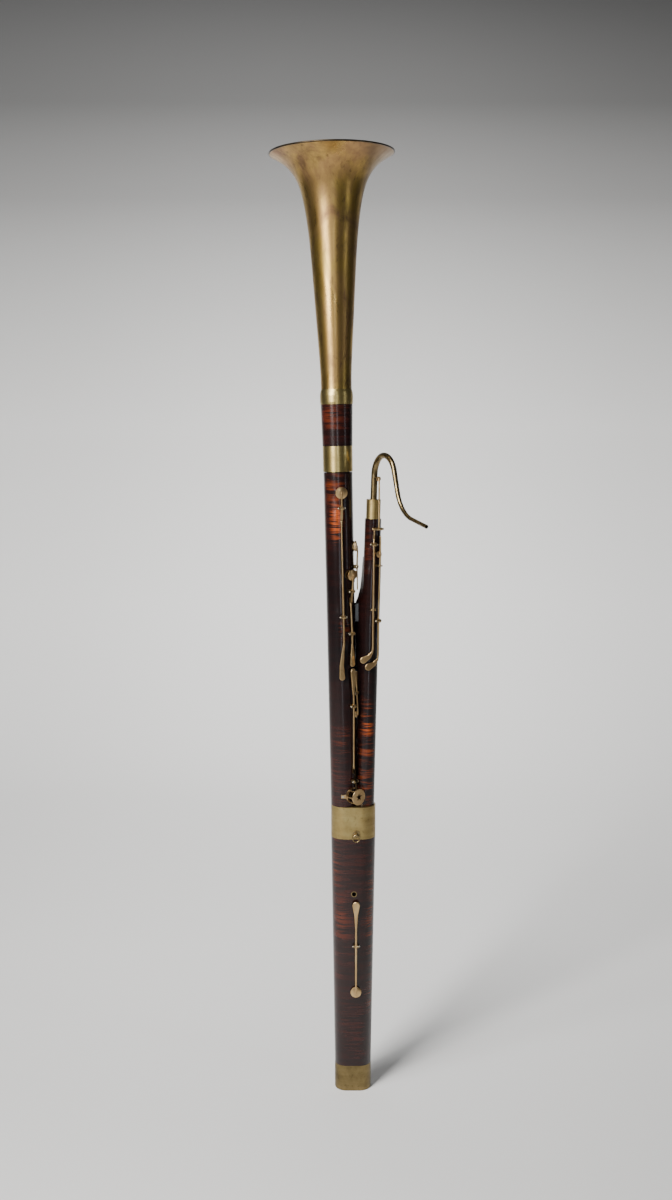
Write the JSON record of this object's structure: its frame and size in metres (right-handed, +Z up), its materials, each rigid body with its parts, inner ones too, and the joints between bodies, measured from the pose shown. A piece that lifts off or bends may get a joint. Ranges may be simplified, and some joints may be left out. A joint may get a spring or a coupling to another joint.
{
  "type": "bassoon",
  "caption": "Early bassoon: oval wooden butt, wing and long joints, flared brass bell, curved crook, and sprung brass keys on saddles.",
  "frame": {"origin": "centre of the butt cap's flat foot", "axes": "+Z up the butt; thumb keys face -Y; the wing joint is at +X and the long joint at -X"},
  "size_m": [0.2111, 0.2269, 1.3411],
  "materials": {
    "stained_maple": "semi-gloss stain and varnish over curly maple",
    "bell_brass": "aged, unlacquered",
    "band_brass": "satin, aged",
    "crook_brass": "dull, aged",
    "key_brass": "hand polished",
    "pin_steel": "polished",
    "spring_steel": "blued",
    "pad_leather": "soft kid",
    "cork": "cut cork",
    "thread": "waxed thread"
  },
  "bodies": {
    "butt": {"butt_wood": "stained_maple", "butt_band": "band_brass", "butt_cap": "band_brass", "u_tube": "band_brass", "u_tube_gasket": "cork", "strap_post": "key_brass", "butt_saddles": "key_brass", "butt_pivot_pins": "pin_steel", "butt_springs": "spring_steel", "butt_tone_rings": "key_brass", "f_key_guard": "key_brass"},
    "long_joint": {"long_joint_wood": "stained_maple", "long_tenon_lapping": "thread", "bell_tenon_lapping": "thread", "long_saddles": "key_brass", "long_pivot_pins": "pin_steel", "long_springs": "spring_steel", "long_tone_rings": "key_brass", "star_guard": "key_brass"},
    "wing_joint": {"wing_joint_wood": "stained_maple", "wing_ferrule": "band_brass", "wing_tenon_lapping": "thread", "wing_saddles": "key_brass", "wing_pivot_pins": "pin_steel", "wing_springs": "spring_steel", "wing_tone_rings": "key_brass"},
    "bell": {"bell_wood": "stained_maple", "bell_ring": "band_brass", "bell_ferrule": "band_brass", "bell_flare": "bell_brass", "bell_rim": "bell_brass"},
    "crook_sleeve": {"crook_lapping": "thread"},
    "crook": {"crook_tube": "crook_brass", "crook_vent": "crook_brass"},
    "strap_ring": {"strap_ring": "key_brass"},
    "f_sharp_key": {"f_sharp_key": "key_brass", "f_sharp_pad": "pad_leather"},
    "f_key": {"f_key": "key_brass", "f_pad": "pad_leather"},
    "a_flat_key": {"a_flat_key": "key_brass", "a_flat_pad": "pad_leather"},
    "e_flat_key": {"e_flat_key": "key_brass", "e_flat_pad": "pad_leather"},
    "flank_key": {"flank_key": "key_brass", "flank_pad": "pad_leather"},
    "crook_key": {"crook_key_lever": "key_brass"},
    "crook_rocker": {"crook_key_rocker": "key_brass", "crook_key_pad": "pad_leather"},
    "a_key": {"a_key": "key_brass", "a_pad": "pad_leather"},
    "low_b_flat_touch": {"low_b_flat_touch_lever": "key_brass"},
    "low_b_flat_cover": {"low_b_flat_cover_lever": "key_brass", "low_b_flat_pad": "pad_leather"},
    "low_c_touch": {"low_c_touch_lever": "key_brass"},
    "low_c_cover": {"low_c_cover_lever": "key_brass", "low_c_pad": "pad_leather"},
    "low_d_touch": {"low_d_touch_lever": "key_brass"},
    "low_d_cover": {"low_d_cover_lever": "key_brass", "low_d_pad": "pad_leather"}
  },
  "joints": [
    {"name": "long_joint_pull", "type": "slide", "parent": "butt", "child": "long_joint", "axis": [-0.02, 0, 0.9998], "range_m": [0, 0.041]},
    {"name": "wing_joint_pull", "type": "slide", "parent": "butt", "child": "wing_joint", "axis": [0.0253, 0, 0.9997], "range_m": [0, 0.041]},
    {"name": "bell_pull", "type": "slide", "parent": "long_joint", "child": "bell", "axis": [-0.02, 0, 0.9998], "range_m": [0, 0.034]},
    {"name": "crook_pull", "type": "slide", "parent": "wing_joint", "child": "crook_sleeve", "axis": [0.0253, 0, 0.9997], "range_m": [0, 0.025]},
    {"name": "crook_turn", "type": "hinge", "parent": "crook_sleeve", "child": "crook", "pos_m": [0.0166, 0, 0.432], "axis": [0.0253, 0, 0.9997], "range_deg": [-45, 45]},
    {"name": "strap_ring_swing", "type": "hinge", "parent": "butt", "child": "strap_ring", "pos_m": [0.004, -0.0264, 0.393], "axis": [1, 0, 0], "range_deg": [-110, 18]},
    {"name": "f_sharp_key_press", "type": "hinge", "parent": "butt", "child": "f_sharp_key", "pos_m": [0.004, -0.02359, 0.2255], "axis": [-1, 0, 0], "range_deg": [0, 2.2], "stiffness_Nm_per_rad": 0.1, "springref_deg": -11.46},
    {"name": "f_key_press", "type": "hinge", "parent": "butt", "child": "f_key", "pos_m": [0.004, 0.02435, 0.222], "axis": [-1, 0, 0], "range_deg": [0, 1.94], "stiffness_Nm_per_rad": 0.1, "springref_deg": -11.46},
    {"name": "a_flat_key_press", "type": "hinge", "parent": "butt", "child": "a_flat_key", "pos_m": [-0.013, 0.02292, 0.16], "axis": [1, 0, 0], "range_deg": [0, 5], "stiffness_Nm_per_rad": 0.1, "springref_deg": -11.46},
    {"name": "low_b_flat_press", "type": "hinge", "parent": "long_joint", "child": "low_b_flat_touch", "pos_m": [-0.01439, -0.02413, 0.70752], "axis": [0.9875, 0.1564, 0.0197], "range_deg": [0, 1.02], "stiffness_Nm_per_rad": 0.1, "springref_deg": -11.46},
    {"name": "low_b_flat_cover_close", "type": "hinge", "parent": "long_joint", "child": "low_b_flat_cover", "pos_m": [-0.01716, -0.02585, 0.86], "axis": [-0.9875, -0.1564, -0.0197], "range_deg": [0, 10.91]},
    {"name": "low_c_press", "type": "hinge", "parent": "long_joint", "child": "low_c_touch", "pos_m": [-0.00204, -0.01869, 0.68326], "axis": [0.7659, 0.6428, 0.0153], "range_deg": [0, 2.49], "stiffness_Nm_per_rad": 0.1, "springref_deg": -11.46},
    {"name": "low_c_cover_close", "type": "hinge", "parent": "long_joint", "child": "low_c_cover", "pos_m": [-0.00222, -0.01991, 0.74327], "axis": [-0.7659, -0.6428, -0.0153], "range_deg": [0, 9.96]},
    {"name": "low_d_press", "type": "hinge", "parent": "long_joint", "child": "low_d_touch", "pos_m": [0.00025, -0.01829, 0.57929], "axis": [-0.7546, -0.6561, -0.0151], "range_deg": [0, 1.23], "stiffness_Nm_per_rad": 0.1, "springref_deg": -11.46},
    {"name": "low_d_cover_close", "type": "hinge", "parent": "long_joint", "child": "low_d_cover", "pos_m": [0.00304, -0.01899, 0.47032], "axis": [0.7546, 0.6561, 0.0151], "range_deg": [0, 8.33]},
    {"name": "e_flat_key_press", "type": "hinge", "parent": "long_joint", "child": "e_flat_key", "pos_m": [0.00436, -0.01224, 0.59737], "axis": [-0.5149, -0.8572, -0.0103], "range_deg": [0, 4.6], "stiffness_Nm_per_rad": 0.1, "springref_deg": -11.46},
    {"name": "flank_key_press", "type": "hinge", "parent": "long_joint", "child": "flank_key", "pos_m": [0.0044, -0.00168, 0.77641], "axis": [0.0697, 0.9976, 0.0014], "range_deg": [0, 5.2], "stiffness_Nm_per_rad": 0.1, "springref_deg": -11.46},
    {"name": "crook_key_press", "type": "hinge", "parent": "wing_joint", "child": "crook_key", "pos_m": [0.02893, -0.01506, 0.80881], "axis": [0.9829, 0.1822, -0.0249], "range_deg": [0, 1.07], "stiffness_Nm_per_rad": 0.1, "springref_deg": -11.46},
    {"name": "crook_rocker_turn", "type": "hinge", "parent": "wing_joint", "child": "crook_rocker", "pos_m": [0.03473, -0.01394, 0.83037], "axis": [-0.8657, -0.5, 0.0219], "range_deg": [0, 1.32]},
    {"name": "a_key_press", "type": "hinge", "parent": "wing_joint", "child": "a_key", "pos_m": [0.03405, -0.01225, 0.70064], "axis": [0.7545, 0.6561, -0.0191], "range_deg": [0, 1.55], "stiffness_Nm_per_rad": 0.1, "springref_deg": -11.46}
  ],
  "couplings": [
    {"joint": "low_b_flat_cover_close", "follows": "low_b_flat_press", "ratio": 10.731},
    {"joint": "low_c_cover_close", "follows": "low_c_press", "ratio": 4},
    {"joint": "low_d_cover_close", "follows": "low_d_press", "ratio": 6.7857},
    {"joint": "crook_rocker_turn", "follows": "crook_key_press", "ratio": 1.2371}
  ]
}
